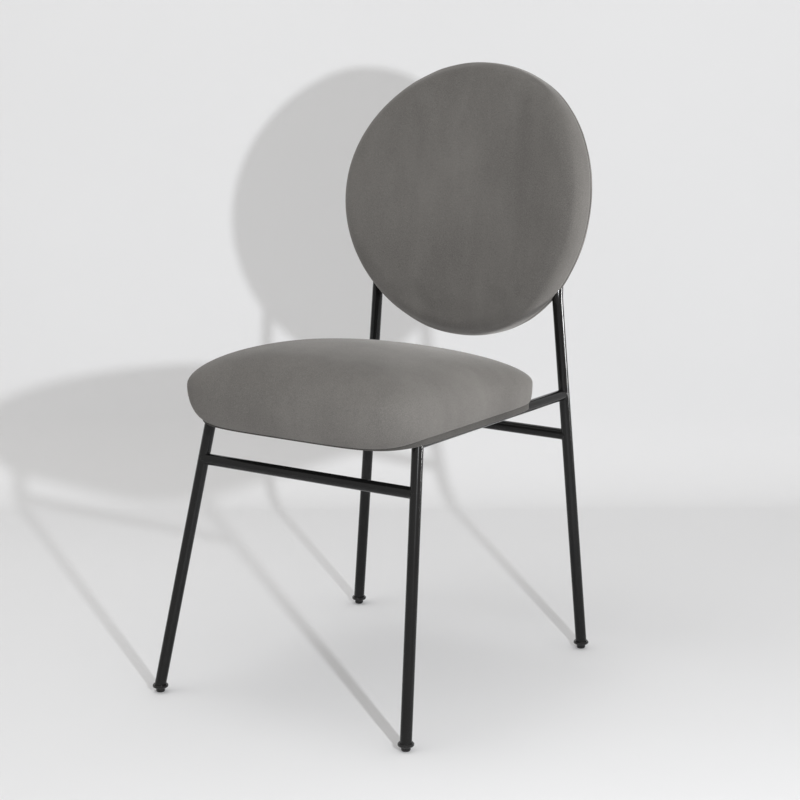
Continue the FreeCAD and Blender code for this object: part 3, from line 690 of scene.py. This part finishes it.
def weld_bead(name, start, end, side, leg_point, span, seed):
    """A rippled bead where a tube from start to end meets a leg; span is a stretch of the leg."""
    leg_ends = [leg_point(side, height) for height in span]
    start, end, leg_low, leg_high = [p * MM for p in (start, end, *leg_ends)]
    along = (end - start).normalized()
    leg = (leg_high - leg_low).normalized()
    across_both = along.cross(leg).normalized()
    up = across_both.cross(along).normalized()
    phase = np.random.default_rng(seed).uniform(0, 6.28)
    vertices = []
    for i in range(BEAD_STEPS):
        turn = 2 * math.pi * i / BEAD_STEPS
        out = across_both * math.cos(turn) + up * math.sin(turn)
        line = start + out * TUBE_RADIUS
        # where this line of the tube's surface enters the leg
        gap = line - leg_low
        flat = gap - leg * gap.dot(leg)
        step = along - leg * along.dot(leg)
        a = step.dot(step)
        b = flat.dot(step)
        c = flat.dot(flat) - TUBE_RADIUS ** 2
        root = math.sqrt(max(b * b - a * c, 0.0))
        reach = (-b - root) / a
        centre = line + along * reach
        leg_out = flat + step * reach
        leg_out.normalize()
        away = (out + leg_out).normalized()
        centre = centre - away * BEAD_SINK
        ripple = 1 + 0.13 * math.sin(turn * 17 + phase) + 0.05 * math.sin(turn * 5 + 2 * phase)
        tangent = across_both * -math.sin(turn) + up * math.cos(turn)
        across = away.cross(tangent).normalized()
        for j in range(BEAD_SIDES):
            angle = 2 * math.pi * j / BEAD_SIDES
            offset = (away * math.cos(angle) * BEAD_HEIGHT
                      + across * math.sin(angle) * BEAD_WIDTH)
            vertices.append(centre + offset * BEAD_RADIUS * ripple)
    numbers = np.arange(len(vertices)).reshape(BEAD_STEPS, BEAD_SIDES).tolist()
    faces = []
    for ring, following in zip(numbers, numbers[1:] + numbers[:1]):
        faces += ring_faces(ring, following)
    bead = add_mesh(name, vertices, faces, FRAME_BLACK)
    subdivide(bead)
    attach(bead, "root")


for word, side in (("left", -1), ("right", 1)):
    legs = {"front": front_leg_point, "rear": rear_leg_point}
    for number, (end_word, leg_point) in enumerate(legs.items()):
        height = RAIL_HEIGHTS[end_word]
        weld_bead(f"weld_{end_word}_rail_{word}", leg_point(0, height), leg_point(side, height),
                  side, leg_point, RAIL_BEAD_SPAN, 10 + number)
    rail_front = side_rail_point(side, front_leg_point, SEAT_PLANE_DEPTH)
    rail_rear = side_rail_point(side, rear_leg_point, rear_leg_depth(SEAT_PLANE_HEIGHT))
    middle = (rail_front + rail_rear) / 2
    weld_bead(f"weld_side_rail_rear_{word}", middle, rail_rear,
              side, rear_leg_point, SIDE_BEAD_SPAN, 20)
    weld_bead(f"weld_side_rail_front_{word}", middle, rail_front,
              side, front_leg_point, SIDE_BEAD_SPAN, 30)


# ---------------------------------------------------------------- stage, light and camera

CAMERA_AIM = Vector((35.4, -33.2, 403.7)) * MM
CAMERA_DISTANCE = 3.0337
CAMERA_AZIMUTH = math.radians(33.08)
CAMERA_ELEVATION = math.radians(12.38)
CAMERA_LENS = 97.3

STAGE_TURN = CAMERA_AZIMUTH + 0.013
STAGE_FLOOR_END = 0.841
STAGE_CURVE = 0.148
STAGE_HEIGHT = 4.0
STAGE_HALF_WIDTH = 5.0
STAGE_FRONT = -5.0
STAGE_CURVE_STEPS = 24


def make_stage():
    """A paper sweep: floor in front, a curve, and a wall close behind the chair."""
    profile = [(STAGE_FRONT, 0.0), (STAGE_FLOOR_END, 0.0)]
    for i in range(1, STAGE_CURVE_STEPS + 1):
        turn = math.pi / 2 * i / STAGE_CURVE_STEPS
        profile.append((STAGE_FLOOR_END + STAGE_CURVE * math.sin(turn),
                        STAGE_CURVE * (1 - math.cos(turn))))
    profile.append((STAGE_FLOOR_END + STAGE_CURVE, STAGE_HEIGHT))
    away = Vector((-math.sin(STAGE_TURN), math.cos(STAGE_TURN), 0))
    side = Vector((math.cos(STAGE_TURN), math.sin(STAGE_TURN), 0))
    vertices = []
    for reach, height in profile:
        for edge in (-STAGE_HALF_WIDTH, STAGE_HALF_WIDTH):
            vertices.append(away * reach + side * edge + Vector((0, 0, height)))
    faces = [(2 * i, 2 * i + 1, 2 * i + 3, 2 * i + 2) for i in range(len(profile) - 1)]
    m = Nodes("sweep_paper")
    m.set(Roughness=0.9, Specular_IOR_Level=0.1)
    m.link(m.mix((0.80, 0.80, 0.805), (0.82, 0.82, 0.825), m.noise(3.0)), "Base Color")
    # open from behind and below, so that views from there see the chair
    paper = m.shader.outputs["BSDF"]
    clear = m.add("ShaderNodeBsdfTransparent").outputs["BSDF"]
    behind = m.add("ShaderNodeNewGeometry").outputs["Backfacing"]
    sheet = m.add("ShaderNodeMixShader", {0: behind, 1: paper, 2: clear})
    m.tree.links.new(sheet.outputs[0], m.tree.nodes["Material Output"].inputs["Surface"])
    sweep = add_mesh("sweep", vertices, faces, m.material)


def area_light(name, place, aim, size, power, spread=180, colour=(1, 1, 1)):
    """A disk light; spread is the full angle of its beam in degrees."""
    light = bpy.data.lights.new(name, "AREA")
    light.spread = math.radians(spread)
    light.color = colour
    light.shape = "DISK"
    light.size = size
    light.energy = power
    lamp = bpy.data.objects.new(name, light)
    lamp.location = place
    lamp.rotation_euler = (Vector(aim) - Vector(place)).to_track_quat("-Z", "Y").to_euler()
    bpy.context.scene.collection.objects.link(lamp)


make_stage()
area_light("key", (1.823, -1.502, 1.036), (0, 0, 0.45), 0.07, 32.5, colour=(0.953, 0.972, 1))
area_light("side", (1.84, 1.20, 0.46), (0, 0, 0.58), 0.5, 0.85, 24)
area_light("overhead", (-0.45, -0.2, 2.4), (-0.45, -0.2, 0), 0.8, 1.1, 80)

world = bpy.data.worlds.new("studio")
world.use_nodes = True
world.node_tree.nodes["Background"].inputs["Color"].default_value = (1, 0.99, 0.972, 1)
world.node_tree.nodes["Background"].inputs["Strength"].default_value = 0.715
bpy.context.scene.world = world
bpy.context.scene.view_settings.view_transform = "Standard"

camera = bpy.data.objects.new("camera", bpy.data.cameras.new("camera"))
bpy.context.scene.collection.objects.link(camera)
camera.data.lens = CAMERA_LENS
back = Vector((
    math.sin(CAMERA_AZIMUTH) * math.cos(CAMERA_ELEVATION),
    -math.cos(CAMERA_AZIMUTH) * math.cos(CAMERA_ELEVATION),
    math.sin(CAMERA_ELEVATION)))
camera.location = CAMERA_AIM + back * CAMERA_DISTANCE
camera.rotation_euler = (-back).to_track_quat("-Z", "Y").to_euler()
bpy.context.scene.camera = camera
